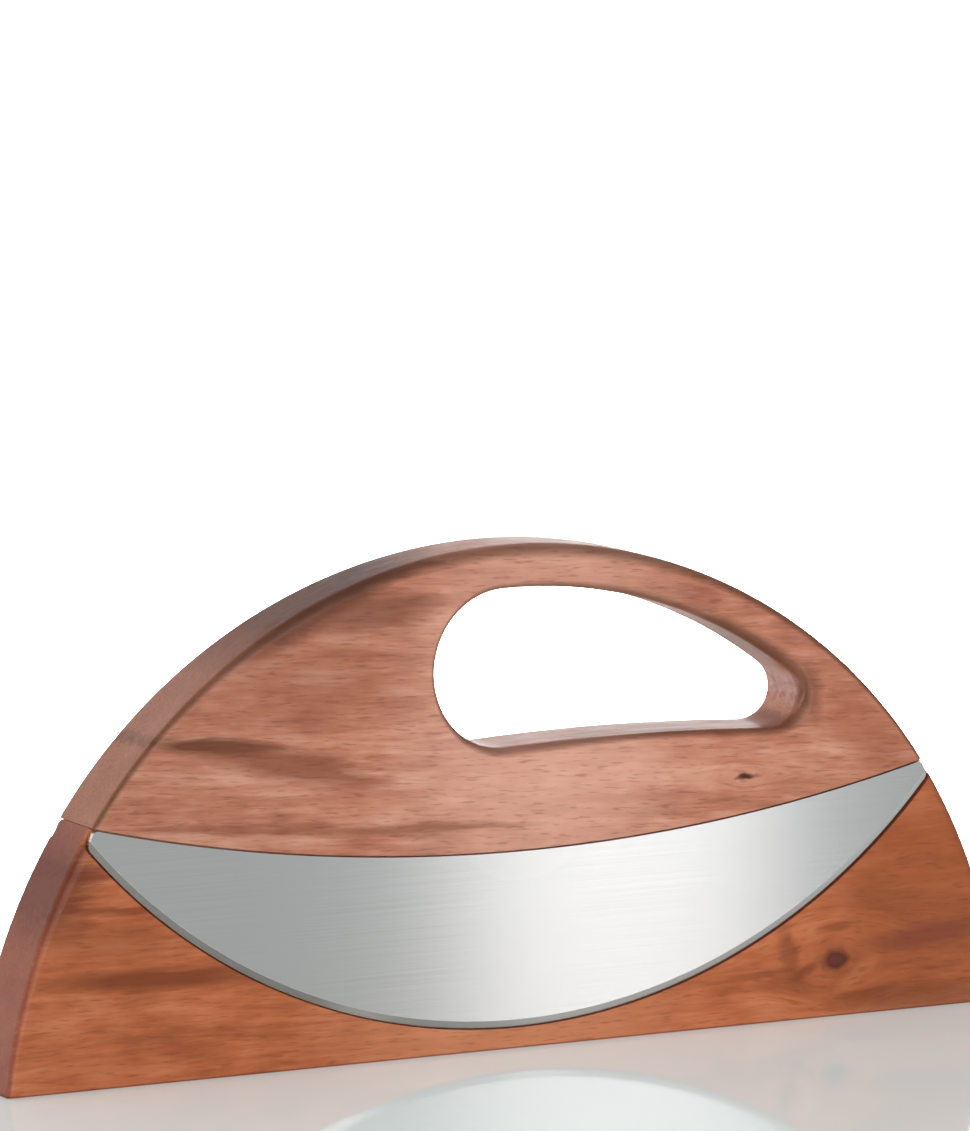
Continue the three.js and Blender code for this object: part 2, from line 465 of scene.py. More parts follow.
def stand():
    """Stand: a block with a rabbet for a blade on each face and a saddle on top for the tongue."""
    shell = Shell()
    ledge_arc = arc_from_lowest(BLADE_LOW.z - EDGE_GAP, EDGE_RADIUS + EDGE_GAP + LEDGE_FLATTER)
    saddle_arc = grown(TONGUE, SADDLE_GAP)
    edge = stand_edge_rows(ledge_arc)
    end = edge + mirrored_y(edge[::-1])
    shell.strip(end)
    shell.strip(mirrored_x(end))
    wall_foot = ledge(shell, ledge_arc, [row[-1] for row in edge])
    right = edge[-1][-1]
    wall_foot = [right, *wall_foot, mirrored_x(right)]
    saddle_end, _ = crossing(BODY, saddle_arc)
    reach = [p.x * saddle_end / right.x for p in wall_foot]
    wall_top = [Vector((x, -REBATE_Y, low_z(saddle_arc, x))) for x in reach]
    shell.both_sides(shell.strip, [wall_foot, wall_top])
    shell.strip([wall_top, mirrored_y(wall_top)])
    for foot, top in ((wall_foot[0], wall_top[0]), (wall_foot[-1], wall_top[-1])):
        shell.patch([foot, top, mirrored_y(top), mirrored_y(foot)])
    foot = [row[0] for row in end]
    shell.patch(foot + mirrored_x(foot[::-1]))
    shell.sew()
    shell.cap(1, -FACE_Y)
    shell.cap(1, FACE_Y)
    shell.ease_foot(STAND_FOOT_ROUND)
    return shell.finished("stand_acacia")


# Node trees

COLOUR_A, COLOUR_B, COLOUR_RESULT = 6, 7, 2  # sockets of a Mix node that mixes colours


def add(tree, kind, inputs=(), out=0, **settings):
    """Adds a node with its settings, sets or links its inputs, and gives one of its outputs."""
    node = tree.nodes.new(kind)
    for name, value in settings.items():
        setattr(node, name, value)
    for key, value in inputs.items() if isinstance(inputs, dict) else enumerate(inputs):
        if isinstance(value, bpy.types.NodeSocket):
            tree.links.new(value, node.inputs[key])
        else:
            node.inputs[key].default_value = value
    return node.outputs[out] if node.outputs else None


def linear(hex_colour):
    """An sRGB hex colour as linear red, green and blue, with full alpha."""
    parts = [int(hex_colour[i : i + 2], 16) / 255 for i in (1, 3, 5)]
    return (*[c / 12.92 if c <= 0.04045 else ((c + 0.055) / 1.055) ** 2.4 for c in parts], 1.0)


def new_material(name):
    """An empty material and its tree."""
    material = bpy.data.materials.new(name)
    material.use_nodes = True
    material.node_tree.nodes.clear()
    return material, material.node_tree


# Blades, as a rule: rows of facets from the cutting edge to the top, each bent to an arc

BLADE_INPUTS = (
    ("Steps", "NodeSocketInt"),
    ("Rows", "NodeSocketInt"),
    ("Bevel Rows", "NodeSocketInt"),
    ("Top Centre", "NodeSocketFloat"),
    ("Top Radius", "NodeSocketFloat"),
    ("Top Sweep", "NodeSocketFloat"),
    ("Edge Centre", "NodeSocketFloat"),
    ("Edge Radius", "NodeSocketFloat"),
    ("Edge Sweep", "NodeSocketFloat"),
    ("Tip Height", "NodeSocketFloat"),
    ("Tip Round", "NodeSocketFloat"),
    ("Bevel Width", "NodeSocketFloat"),
    ("Thickness", "NodeSocketFloat"),
    ("Face Grind", "NodeSocketFloat"),
    ("Back Grind", "NodeSocketFloat"),
    ("Back", "NodeSocketFloat"),
    ("Turn", "NodeSocketFloat"),
    ("Steel", "NodeSocketMaterial"),
)


def crescent_blade_tree():
    """A crescent of sheet steel between two arcs, ground on both sides of its edge.

    It is made as the front blade, and turned about Z for the rear one.
    """
    tree = bpy.data.node_groups.new("crescent_blade", "GeometryNodeTree")
    for name, kind in BLADE_INPUTS:
        tree.interface.new_socket(name, in_out="INPUT", socket_type=kind)
    tree.interface.new_socket("Geometry", in_out="OUTPUT", socket_type="NodeSocketGeometry")
    size = {name: add(tree, "NodeGroupInput", out=name) for name, _ in BLADE_INPUTS}

    def calc(operation, *values):
        return add(tree, "ShaderNodeMath", values, operation=operation)

    def arc_point(centre, radius, sweep, along):
        angle = calc("MULTIPLY", along, sweep)
        drop = calc("MULTIPLY", radius, calc("COSINE", angle))
        x = calc("MULTIPLY", radius, calc("SINE", angle))
        return add(tree, "ShaderNodeCombineXYZ", [x, 0.0, calc("SUBTRACT", centre, drop)])

    points = [calc("ADD", size["Steps"], 1), calc("ADD", size["Rows"], 1)]
    grid = add(tree, "GeometryNodeMeshGrid", [1.0, 1.0, *points])
    kept = tree.nodes.new("GeometryNodeCaptureAttribute")
    kept.capture_items.new("VECTOR", "Spot")
    tree.links.new(grid, kept.inputs["Geometry"])
    tree.links.new(add(tree, "GeometryNodeInputPosition"), kept.inputs["Spot"])
    spot = add(tree, "ShaderNodeSeparateXYZ", [kept.outputs["Spot"]])
    row = calc("MULTIPLY", calc("ADD", spot.node.outputs["Y"], 0.5), size["Rows"])

    # Share of the bevel and of the flat that a row has passed
    bevel_share = add(tree, "ShaderNodeClamp", [calc("DIVIDE", row, size["Bevel Rows"])])
    flat_rows = calc("SUBTRACT", size["Rows"], size["Bevel Rows"])
    past_bevel = calc("SUBTRACT", row, size["Bevel Rows"])
    flat_share = add(tree, "ShaderNodeClamp", [calc("DIVIDE", past_bevel, flat_rows)])

    def rise(height):
        on_flat = calc("MULTIPLY", flat_share, calc("SUBTRACT", height, size["Bevel Width"]))
        return calc("MULTIPLY_ADD", bevel_share, size["Bevel Width"], on_flat)

    # Rows near a tip's corners end a little short, so the corners are round
    at_tip = rise(size["Tip Height"])
    from_corner = calc("MINIMUM", at_tip, calc("SUBTRACT", size["Tip Height"], at_tip))
    inside = calc("MAXIMUM", calc("SUBTRACT", size["Tip Round"], from_corner), 0.0)
    squares = calc("SUBTRACT", calc("POWER", size["Tip Round"], 2.0), calc("POWER", inside, 2.0))
    short = calc("SUBTRACT", size["Tip Round"], calc("SQRT", squares))
    half_length = calc("MULTIPLY", size["Edge Radius"], size["Edge Sweep"])
    reach = calc("SUBTRACT", 1.0, calc("DIVIDE", short, half_length))
    side = calc("MULTIPLY", calc("MULTIPLY", spot, 2.0), reach)

    edge = arc_point(size["Edge Centre"], size["Edge Radius"], size["Edge Sweep"], side)
    top = arc_point(size["Top Centre"], size["Top Radius"], size["Top Sweep"], side)
    upward = add(tree, "ShaderNodeVectorMath", [top, edge], operation="SUBTRACT")
    height = add(tree, "ShaderNodeVectorMath", [upward], out="Value", operation="LENGTH")
    share = calc("DIVIDE", rise(height), height)
    climb = add(tree, "ShaderNodeVectorMath", {0: upward, "Scale": share}, operation="SCALE")
    ground = calc("SUBTRACT", 1.0, bevel_share)
    off_back = calc("MULTIPLY", ground, size["Back Grind"])
    on_back = add(tree, "ShaderNodeCombineXYZ", [0.0, calc("SUBTRACT", size["Back"], off_back), 0.0])
    on_crescent = add(tree, "ShaderNodeVectorMath", [edge, climb])
    place = add(tree, "ShaderNodeVectorMath", [on_crescent, on_back])
    flat_grid = kept.outputs["Geometry"]
    sheet = add(tree, "GeometryNodeSetPosition", {"Geometry": flat_grid, "Position": place})

    # The face stands off the back by the blade's thickness, and by less over the bevels
    forward = add(tree, "ShaderNodeCombineXYZ", [0.0, -1.0, 0.0])
    raised = add(
        tree,
        "GeometryNodeExtrudeMesh",
        {"Mesh": sheet, "Offset": forward, "Offset Scale": size["Thickness"], "Individual": False},
    )
    both_grinds = calc("ADD", size["Face Grind"], size["Back Grind"])
    ground_by = add(tree, "ShaderNodeCombineXYZ", [0.0, calc("MULTIPLY", ground, both_grinds), 0.0])
    face = add(
        tree,
        "GeometryNodeSetPosition",
        {"Geometry": raised, "Selection": raised.node.outputs["Top"], "Offset": ground_by},
    )
    back = add(tree, "GeometryNodeFlipFaces", {"Mesh": sheet})
    both = tree.nodes.new("GeometryNodeJoinGeometry")
    for part in (face, back):
        tree.links.new(part, both.inputs[0])
    closed = add(tree, "GeometryNodeMergeByDistance", {"Geometry": both.outputs[0], "Distance": SEW})
    spread = add(tree, "ShaderNodeSeparateXYZ", [add(tree, "GeometryNodeInputPosition")])
    x, y, z = spread.node.outputs
    along = add(tree, "ShaderNodeCombineXYZ", [calc("MULTIPLY_ADD", y, 0.5, x), calc("ADD", z, y), 0.0])
    closed = add(
        tree,
        "GeometryNodeStoreNamedAttribute",
        {"Geometry": closed, "Name": GRAIN_MAP, "Value": along},
        data_type="FLOAT2",
        domain="CORNER",
    )
    closed = add(
        tree,
        "GeometryNodeStoreNamedAttribute",
        {"Geometry": closed, "Name": BEVEL_MARK, "Value": ground},
    )
    turn = add(tree, "ShaderNodeCombineXYZ", [0.0, 0.0, size["Turn"]])
    turned = add(tree, "GeometryNodeTransform", {"Geometry": closed, "Rotation": turn})
    real = add(tree, "GeometryNodeRealizeInstances", {"Geometry": turned})
    steel = add(tree, "GeometryNodeSetMaterial", {"Geometry": real, "Material": size["Steel"]})
    add(tree, "NodeGroupOutput", [steel])
    return tree


def blade(name, tree, turn, steel):
    """One blade as a plain mesh, from the tree."""
    top_arc = grown(SHOULDER, SHOULDER_GAP)
    top_tip = crossing(grown(BODY, -TIP_INSET_TOP), top_arc)
    edge_tip = crossing(grown(BODY, -TIP_INSET_EDGE), EDGE)
    sizes = {
        "Steps": BLADE_STEPS,
        "Rows": BLADE_ROWS,
        "Bevel Rows": BEVEL_ROWS,
        "Top Centre": top_arc.centre_z,
        "Top Radius": top_arc.radius,
        "Top Sweep": math.asin(top_tip[0] / top_arc.radius),
        "Edge Centre": EDGE.centre_z,
        "Edge Radius": EDGE.radius,
        "Edge Sweep": math.asin(edge_tip[0] / EDGE.radius),
        "Tip Height": math.dist(top_tip, edge_tip),
        "Tip Round": TIP_ROUND,
        "Bevel Width": BEVEL_WIDTH,
        "Thickness": FACE_Y - BLADE_BACK_Y,
        "Face Grind": FACE_GRIND,
        "Back Grind": FACE_Y - BLADE_BACK_Y - EDGE_LAND - FACE_GRIND,
        "Back": -BLADE_BACK_Y,
        "Turn": turn,
        "Steel": steel,
    }
    maker = bpy.data.objects.new(name, bpy.data.meshes.new(name))
    bpy.context.scene.collection.objects.link(maker)
    shape = maker.modifiers.new("crescent_blade", "NODES")
    shape.node_group = tree
    for socket in tree.interface.items_tree:
        if socket.in_out == "INPUT":
            shape[socket.identifier] = sizes[socket.name]
    depsgraph = bpy.context.evaluated_depsgraph_get()
    mesh = bpy.data.meshes.new_from_object(maker.evaluated_get(depsgraph), depsgraph=depsgraph)
    maker.modifiers.remove(shape)
    maker.data = mesh
    mesh.polygons.foreach_set("use_smooth", [True] * len(mesh.polygons))
    mesh.set_sharp_from_angle(angle=STEEL_SMOOTH)
    return maker


# Wood

# Marks in a board, some of them painted light and shade: place and size in mm, tilt in degrees, and the
# share of their tone
Knot = namedtuple("Knot", "x z length height share")
Streak = namedtuple("Streak", "x z length height tilt tone share")
STEEP = 20.0  # degrees; streaks steeper than this cross the grain and aren't drawn out by it
MARK_DEPTH = 80.0  # mm; far more than a board is thick, so marks run through it
KNOT_REACH = 5.0  # fibres bend within this many times a knot's size
KNOT_PRESS = 0.9  # how far they part, as a share of the way
BOARD_PARTS = "cut_at tilt dark mid light pore fleck end_grain edge knot heart knots streaks"
Board = namedtuple("Board", BOARD_PARTS)

HANDLE_BOARD = Board(
    cut_at=(0.0, 0.0, 0.0),
    tilt=-3.5,
    dark="#A0614B",
    mid="#BD7A60",
    light="#D29880",
    pore="#6A3724",
    fleck="#DEAE98",
    end_grain="#A36A50",
    # Tone of the painted shade on the rounded edges
    edge="#52301F",
    knot="#552416",
    heart="#4A1E13",
    knots=(Knot(58.6, 56.9, 9.0, 1.5, 0.55), Knot(57.9, 56.9, 5.2, 1.8, 0.95)),
    streaks=(
        # Painted sheen: a paler, pinker middle where the light's sheen falls
        Streak(6.0, 72.0, 90.0, 120.0, 0.0, "#E2B19E", 0.5),
        Streak(-75.0, 73.4, 44.0, 5.2, -6.0, "#64361C", 0.95),
        Streak(-56.0, 67.6, 62.0, 9.0, -14.0, "#8A4E38", 0.8),
        Streak(-66.0, 54.6, 62.0, 3.2, -4.0, "#7E442E", 0.5),
        Streak(-25.0, 51.5, 70.0, 3.0, -2.0, "#8A5238", 0.7),
        # Painted shade on the upper left round-over, where it turns away from the light
        Streak(-49.5, 101.4, 60.0, 10.0, 25.5, "#4A1A08", 0.8),
        # Painted shade: the face darker towards its upper left, where the light falls off
        Streak(-50.0, 86.2, 64.0, 30.0, -5.0, "#96573F", 0.45),
        Streak(-36.0, 100.5, 40.0, 12.0, 4.0, "#7E4836", 0.75),
        Streak(-31.0, 110.4, 40.0, 8.0, 13.0, "#4A2A1C", 0.55),
        Streak(88.0, 66.0, 40.0, 16.0, -35.0, "#A0593A", 0.55),
        Streak(36.0, 54.0, 60.0, 3.0, -3.0, "#9A5A46", 0.25),
        # These three: painted shade along the bar's lower edge, down the toe and in its lower corner
        Streak(60.0, 87.8, 40.0, 5.0, -30.0, "#7A4A36", 0.6),
        Streak(75.0, 75.0, 18.0, 6.4, -84.0, "#7A4836", 0.65),
        Streak(66.0, 68.2, 22.0, 4.0, 4.0, "#80493A", 0.6),
        Streak(26.0, 69.6, 120.0, 3.4, -1.0, "#7C4A34", 0.55),
        # Painted highlight: a pale lilac patch on the grip opening's right-hand wall
        Streak(70.6, 75.4, 10.0, 5.2, 90.0, "#CDB2B4", 0.55),
    ),
)
STAND_BOARD = Board(
    cut_at=(0.31, 0.17, 0.23),
    tilt=-0.5,
    dark="#A25631",
    mid="#BD6940",
    light="#CE7D54",
    pore="#7A3A22",
    fleck="#D68A5E",
    end_grain="#8F4C3C",
    # Tone of the painted shade on the rounded edges
    edge="#5E3220",
    knot="#4A1C12",
    heart="#6E3430",
    knots=(Knot(81.6, 13.1, 8.4, 6.4, 0.85),),
    streaks=(
        # Painted sheen: a paler middle where the light's sheen falls
        Streak(-5.0, 8.0, 110.0, 50.0, 0.0, "#D08C68", 0.5),
        Streak(105.0, 30.0, 60.0, 70.0, 0.0, "#9A502C", 0.6),
        Streak(-90.0, 23.4, 66.0, 6.5, -2.0, "#84411F", 0.95),
        Streak(-98.0, 32.4, 40.0, 14.0, -2.0, "#8E4826", 0.4),
        Streak(-97.0, 38.8, 26.0, 2.8, -3.0, "#8A4220", 0.8),
        Streak(-105.0, 47.5, 18.0, 5.0, -4.0, "#823A22", 0.8),
        # Painted shadow on the rabbet's wall behind the blade's left tip
        Streak(-113.0, 45.5, 24.0, 32.0, 0.0, "#682E1A", 0.72),
        Streak(-81.0, 7.2, 24.0, 4.0, 0.0, "#A4522E", 0.6),
        Streak(107.0, 17.0, 44.0, 7.5, 4.0, "#7E4030", 0.65),
        Streak(69.5, 15.5, 19.0, 6.0, -76.0, "#7A3C1E", 0.5),
        Streak(74.0, 11.2, 13.0, 3.6, 28.0, "#743820", 0.55),
        Streak(82.5, 20.7, 13.0, 3.0, 8.0, "#86461F", 0.65),
        Streak(86.8, 8.9, 16.0, 5.0, 34.0, "#D08256", 0.35),
        Streak(104.0, 2.8, 60.0, 10.0, 0.0, "#744026", 0.55),
        Streak(90.0, 4.7, 20.0, 2.4, 6.0, "#8A4826", 0.7),
        Streak(62.0, 11.2, 20.0, 2.4, 3.0, "#8C4A2A", 0.65),
        Streak(93.0, 27.0, 26.0, 8.0, -6.0, "#8E4A26", 0.55),
    ),
)


def fibres(tree, place, cut_at, length, width, detail=2.0):
    """A pattern drawn out along the board (X), from 0 to 1; length and width of one mark in mm."""
    drawn = (1 / (length * MM), 1 / (width * MM), 1 / (width * MM))
    spot = add(tree, "ShaderNodeMapping", {"Vector": place, "Location": cut_at, "Scale": drawn})
    return add(tree, "ShaderNodeTexNoise", {"Vector": spot, "Scale": 1.0, "Detail": detail})


def shifted(tree, place, pattern, reach):
    """Places pushed about by a pattern's three channels, by up to half of reach (mm) each way."""
    channels = pattern.node.outputs["Color"]
    off = add(tree, "ShaderNodeVectorMath", [channels, (0.5, 0.5, 0.5)], operation="SUBTRACT")
    push = add(tree, "ShaderNodeVectorMath", [off, [r * MM for r in reach]], operation="MULTIPLY")
    return add(tree, "ShaderNodeVectorMath", [place, push])


def soft_spot(tree, place, x, z, length, height, tilt=0.0):
    """1 in the middle of a mark that runs through the board's thickness, 0 outside it; mm and degrees."""
    spot = add(
        tree,
        "ShaderNodeMapping",
        {
            "Vector": place,
            "Location": (x * MM, 0.0, z * MM),
            "Rotation": (0.0, math.radians(-tilt), 0.0),
            "Scale": (length / 2 * MM, MARK_DEPTH * MM, height / 2 * MM),
        },
        vector_type="TEXTURE",
    )
    return add(tree, "ShaderNodeTexGradient", [spot], out="Fac", gradient_type="SPHERICAL")


def bent_round(tree, place, knot):
    """Places pressed towards a knot's axis, so the fibres drawn on them part and flow round it."""
    near = soft_spot(tree, place, knot.x, knot.z, knot.length * KNOT_REACH, knot.height * KNOT_REACH)
    centre = (knot.x * MM, 0.0, knot.z * MM)
    off = add(tree, "ShaderNodeVectorMath", [place, centre], operation="SUBTRACT")
    upright = add(tree, "ShaderNodeVectorMath", [off, (0.0, 0.0, KNOT_PRESS)], operation="MULTIPLY")
    press = add(tree, "ShaderNodeVectorMath", {0: upright, "Scale": near}, operation="SCALE")
    return add(tree, "ShaderNodeVectorMath", [place, press], operation="SUBTRACT")


def oiled_acacia(name, board):
    """Acacia, planed and sanded along the grain, then oiled.

    Broad soft bands run along the board, with fine fibres, short dark pores and pale flecks in them.
    The oil deepens the colour and leaves a satin gloss that the open pores break up.
    """
    material, tree = new_material(name)
    place = add(tree, "ShaderNodeTexCoord", out="Object")
    flow = place
    for knot in board.knots:
        flow = bent_round(tree, flow, knot)
    turn = (0.0, math.radians(board.tilt), 0.0)
    flow = add(tree, "ShaderNodeMapping", {"Vector": flow, "Rotation": turn})
    wander = fibres(tree, flow, board.cut_at, 60.0, 16.0)
    grain = shifted(tree, flow, wander, (0.0, 3.0, 4.0))
    bands = fibres(tree, grain, board.cut_at, 120.0, 9.0, 3.0)
    mottle = fibres(tree, grain, board.cut_at, 10.0, 4.5, 2.0)
    fine = fibres(tree, grain, board.cut_at, 14.0, 1.4, 3.0)
    pores = fibres(tree, grain, board.cut_at, 4.6, 0.5, 1.0)

    tone = bands
    for pattern, weight in ((fine, 0.6), (mottle, 0.55)):
        off = add(tree, "ShaderNodeMath", [pattern, 0.5], operation="SUBTRACT")
        tone = add(tree, "ShaderNodeMath", [off, weight, tone], operation="MULTIPLY_ADD")
    ramp = add(tree, "ShaderNodeValToRGB", [tone])
    stops = ramp.node.color_ramp.elements
    stops[0].position, stops[0].color = 0.26, linear(board.dark)
    stops[1].position, stops[1].color = 0.74, linear(board.light)
    middle = stops.new(0.5)
    middle.color = linear(board.mid)

    # End grain, where a face looks along the board, drinks more oil; its duller, pinker cast is painted
    # reflection
    outward = add(tree, "ShaderNodeTexCoord", out="Normal")
    lengthwise = add(tree, "ShaderNodeSeparateXYZ", [outward])
    facing = add(tree, "ShaderNodeMath", [lengthwise], operation="ABSOLUTE")
    end_share = add(tree, "ShaderNodeMapRange", [facing, 0.12, 0.62, 0.0, 0.8])

    # What lies over the ground tone: (share, tone)
    flecks = add(tree, "ShaderNodeMapRange", [pores, 0.4, 0.27, 0.0, 0.16])
    layers = [(end_share, board.end_grain), (flecks, board.fleck)]
    ragged = shifted(tree, place, fine, (14.0, 0.0, 2.6))
    torn = fibres(tree, place, board.cut_at, 3.0, 2.0)
    rough_edged = shifted(tree, place, torn, (3.2, 0.0, 1.8))
    # Streaks: marks in the wood, and some painted sheen, highlights and shade
    for streak in board.streaks:
        around_it = ragged if abs(streak.tilt) < STEEP else rough_edged
        spot = soft_spot(tree, around_it, streak.x, streak.z, streak.length, streak.height, streak.tilt)
        layers.append((add(tree, "ShaderNodeMapRange", [spot, 0.0, 0.6, 0.0, streak.share]), streak.tone))
    # Painted shade: the rounded edges darker where they turn away from the light, and a painted contact
    # shadow along the foot
    eased = add(tree, "ShaderNodeAttribute", out="Fac", attribute_name=PAINTED_EDGE_SHADE)
    layers.append((add(tree, "ShaderNodeMapRange", [eased, 0.0, 1.0, 0.0, 0.6]), board.edge))
    layers.append((add(tree, "ShaderNodeMapRange", [pores, 0.58, 0.72, 0.0, 0.36]), board.pore))
    for knot in board.knots:
        spot = soft_spot(tree, rough_edged, knot.x, knot.z, knot.length, knot.height)
        layers.append((add(tree, "ShaderNodeMapRange", [spot, 0.0, 0.5, 0.0, knot.share]), board.knot))
        layers.append((add(tree, "ShaderNodeMapRange", [spot, 0.5, 0.75, 0.0, 0.7]), board.heart))

    colour = ramp
    for share, tone in layers:
        colour = add(
            tree,
            "ShaderNodeMix",
            {"Factor": share, COLOUR_A: colour, COLOUR_B: linear(tone)},
            out=COLOUR_RESULT,
            data_type="RGBA",
        )

    height = add(tree, "ShaderNodeMath", [pores, -0.7, fine], operation="MULTIPLY_ADD")
    relief = add(tree, "ShaderNodeBump", {"Strength": 0.25, "Distance": 0.1 * MM, "Height": height})
    gloss = add(tree, "ShaderNodeMapRange", [fine, 0.3, 0.7, 0.34, 0.46])
    along = add(tree, "ShaderNodeTangent", direction_type="UV_MAP", uv_map=GRAIN_MAP)
    wood = add(
        tree,
        "ShaderNodeBsdfPrincipled",
        {
            "Base Color": colour,
            "Roughness": gloss,
            "IOR": 1.5,
            "Specular IOR Level": 0.3,
            "Anisotropic": 0.9,
            "Anisotropic Rotation": 0.25,
            "Normal": relief,
            "Tangent": along,
        },
    )
    add(tree, "ShaderNodeOutputMaterial", [wood])
    return material


# Steel


def brushed_stainless():
    """Stainless sheet, belt-brushed along the blade.

    Fine lengthwise scratches spread reflections up and down and keep them sharper along the blade.
    """
    material, tree = new_material("brushed_stainless")
    place = add(tree, "ShaderNodeTexCoord", out="Object")
    # Real scratches are some 0.02 mm wide: drawn at 0.3 mm, so that they show
    scratches = fibres(tree, place, (0.0, 0.0, 0.0), 60.0, 0.3, 2.0)
    patches = fibres(tree, place, (0.4, 0.0, 0.2), 80.0, 6.0, 2.0)
    both = add(tree, "ShaderNodeMath", [patches, 0.4, scratches], operation="MULTIPLY_ADD")
    gloss = add(tree, "ShaderNodeMapRange", [both, 0.4, 1.0, 0.2, 0.216])
    tint = add(tree, "ShaderNodeMapRange", [scratches, 0.3, 0.7, 0.0, 1.0])
    colour = add(
        tree,
        "ShaderNodeMix",
        {"Factor": tint, COLOUR_A: linear("#D7D4D3"), COLOUR_B: linear("#DEDBDB")},
        out=COLOUR_RESULT,
        data_type="RGBA",
    )
    # The bevel is ground with a finer belt and is duller; its darkening towards the left tip is painted
    # reflection
    lengthwise = add(tree, "ShaderNodeSeparateXYZ", [place])
    painted_bevel_reflection = add(tree, "ShaderNodeMapRange", [lengthwise, -50.0 * MM, 15.0 * MM, 0.0, 1.0])
    bevel = add(
        tree,
        "ShaderNodeMix",
        {"Factor": painted_bevel_reflection, COLOUR_A: linear("#86827E"), COLOUR_B: linear("#D6D2CF")},
        out=COLOUR_RESULT,
        data_type="RGBA",
    )
    ground = add(tree, "ShaderNodeAttribute", out="Fac", attribute_name=BEVEL_MARK)
    on_bevel = add(tree, "ShaderNodeMapRange", [ground, 0.01, 0.05, 0.0, 1.0])
    colour = add(
        tree,
        "ShaderNodeMix",
        {"Factor": on_bevel, COLOUR_A: colour, COLOUR_B: bevel},
        out=COLOUR_RESULT,
        data_type="RGBA",
    )
    relief = add(tree, "ShaderNodeBump", {"Strength": 0.02, "Distance": 0.02 * MM, "Height": scratches})
    along = add(tree, "ShaderNodeTangent", direction_type="UV_MAP", uv_map=GRAIN_MAP)
    steel = add(
        tree,
        "ShaderNodeBsdfPrincipled",
        {
            "Base Color": colour,
            "Metallic": 1.0,
            "Roughness": gloss,
            "Anisotropic": 1.0,
            "Anisotropic Rotation": 0.25,
            "Normal": relief,
            "Tangent": along,
        },
    )
    add(tree, "ShaderNodeOutputMaterial", [steel])
    return material


def turned_steel():
    """Steel pins, turned and parted off: rings of tool marks that scatter the light a little."""
    material, tree = new_material("turned_steel")
    place = add(tree, "ShaderNodeTexCoord", out="Object")
    # Real tool marks are some 0.1 mm apart: drawn at 0.4 mm
    across = add(tree, "ShaderNodeMapping", {"Vector": place, "Scale": (60.0, 1 / (0.4 * MM), 60.0)})
    marks = add(tree, "ShaderNodeTexNoise", {"Vector": across, "Scale": 1.0, "Detail": 1.0})
    gloss = add(tree, "ShaderNodeMapRange", [marks, 0.3, 0.7, 0.3, 0.45])
    colour = add(
        tree,
        "ShaderNodeMix",
        {"Factor": marks, COLOUR_A: linear("#A9A9A7"), COLOUR_B: linear("#C6C6C3")},
        out=COLOUR_RESULT,
        data_type="RGBA",
    )
    relief = add(tree, "ShaderNodeBump", {"Strength": 0.3, "Distance": 0.05 * MM, "Height": marks})
    steel = add(
        tree,
        "ShaderNodeBsdfPrincipled",
        {"Base Color": colour, "Metallic": 1.0, "Roughness": gloss, "Normal": relief},
    )
    add(tree, "ShaderNodeOutputMaterial", [steel])
    return material


# Studio

FLOOR_HALF = 4.0
FLOOR_DROP = 0.2 * MM  # the floor lies just under the stand
CAMERA_YAW = math.radians(27.99)  # to the left of the front
CAMERA_RISE = math.radians(7.72)
CAMERA_DISTANCE = 1937.7 * MM
CAMERA_TARGET = Vector((-3.593 * MM, 0.0, 107.629 * MM))
CAMERA_LENS = 278.2  # mm, on a 36 mm sensor along the picture's height
ROOM = 0.17  # brightness of the room in front
SWEEP = 0.5  # brightness of the white sweep behind
FADE_FROM, FADE_TO = 0.03, 0.35  # metres behind the object over which the floor turns white


def camera():
    """A long lens, a little above the table and to the left."""
    data = bpy.data.cameras.new("camera")
    data.sensor_width = 36.0
    data.lens = CAMERA_LENS
    data.clip_end = 50.0
    eye = bpy.data.objects.new("camera", data)
    level = math.cos(CAMERA_RISE)
    back = Vector((-math.sin(CAMERA_YAW) * level, -math.cos(CAMERA_YAW) * level, math.sin(CAMERA_RISE)))
    eye.location = CAMERA_TARGET + back * CAMERA_DISTANCE
    eye.rotation_euler = (-back).to_track_quat("-Z", "Y").to_euler()
    bpy.context.scene.collection.objects.link(eye)
    bpy.context.scene.camera = eye


def white_acrylic():
    """Glossy white acrylic sheet: grey in front of the object, and lit to white behind it."""
    material, tree = new_material("white_acrylic")
    place = add(tree, "ShaderNodeTexCoord", out="Object")
    depth = add(tree, "ShaderNodeSeparateXYZ", [place], out="Y")
    fade = [depth, FADE_FROM, FADE_TO, 0.0, 1.0]
    behind = add(tree, "ShaderNodeMapRange", fade, interpolation_type="SMOOTHSTEP")
    colour = add(
        tree,
        "ShaderNodeMix",
        {"Factor": behind, COLOUR_A: linear("#D2E4E3"), COLOUR_B: linear("#F4F4F4")},
        out=COLOUR_RESULT,
        data_type="RGBA",
    )
    glow = add(tree, "ShaderNodeMapRange", [behind, 0.0, 1.0, 0.31, 1.0])
    sheet = add(
        tree,
        "ShaderNodeBsdfPrincipled",
        {
            "Base Color": colour,
            "Roughness": 0.06,
            "IOR": 1.49,
            "Emission Color": linear("#F2F5F4"),
            "Emission Strength": glow,
        },
    )
    add(tree, "ShaderNodeOutputMaterial", [sheet])
    return material


def floor():
    """The sheet that the stand is put down on."""
    mesh = bpy.data.meshes.new("floor")
    f = FLOOR_HALF
    corners = [(-f, -f, -FLOOR_DROP), (f, -f, -FLOOR_DROP), (f, f, -FLOOR_DROP), (-f, f, -FLOOR_DROP)]
    mesh.from_pydata(corners, [], [(0, 1, 2, 3)])
    mesh.materials.append(white_acrylic())
    piece = bpy.data.objects.new("floor", mesh)
    bpy.context.scene.collection.objects.link(piece)


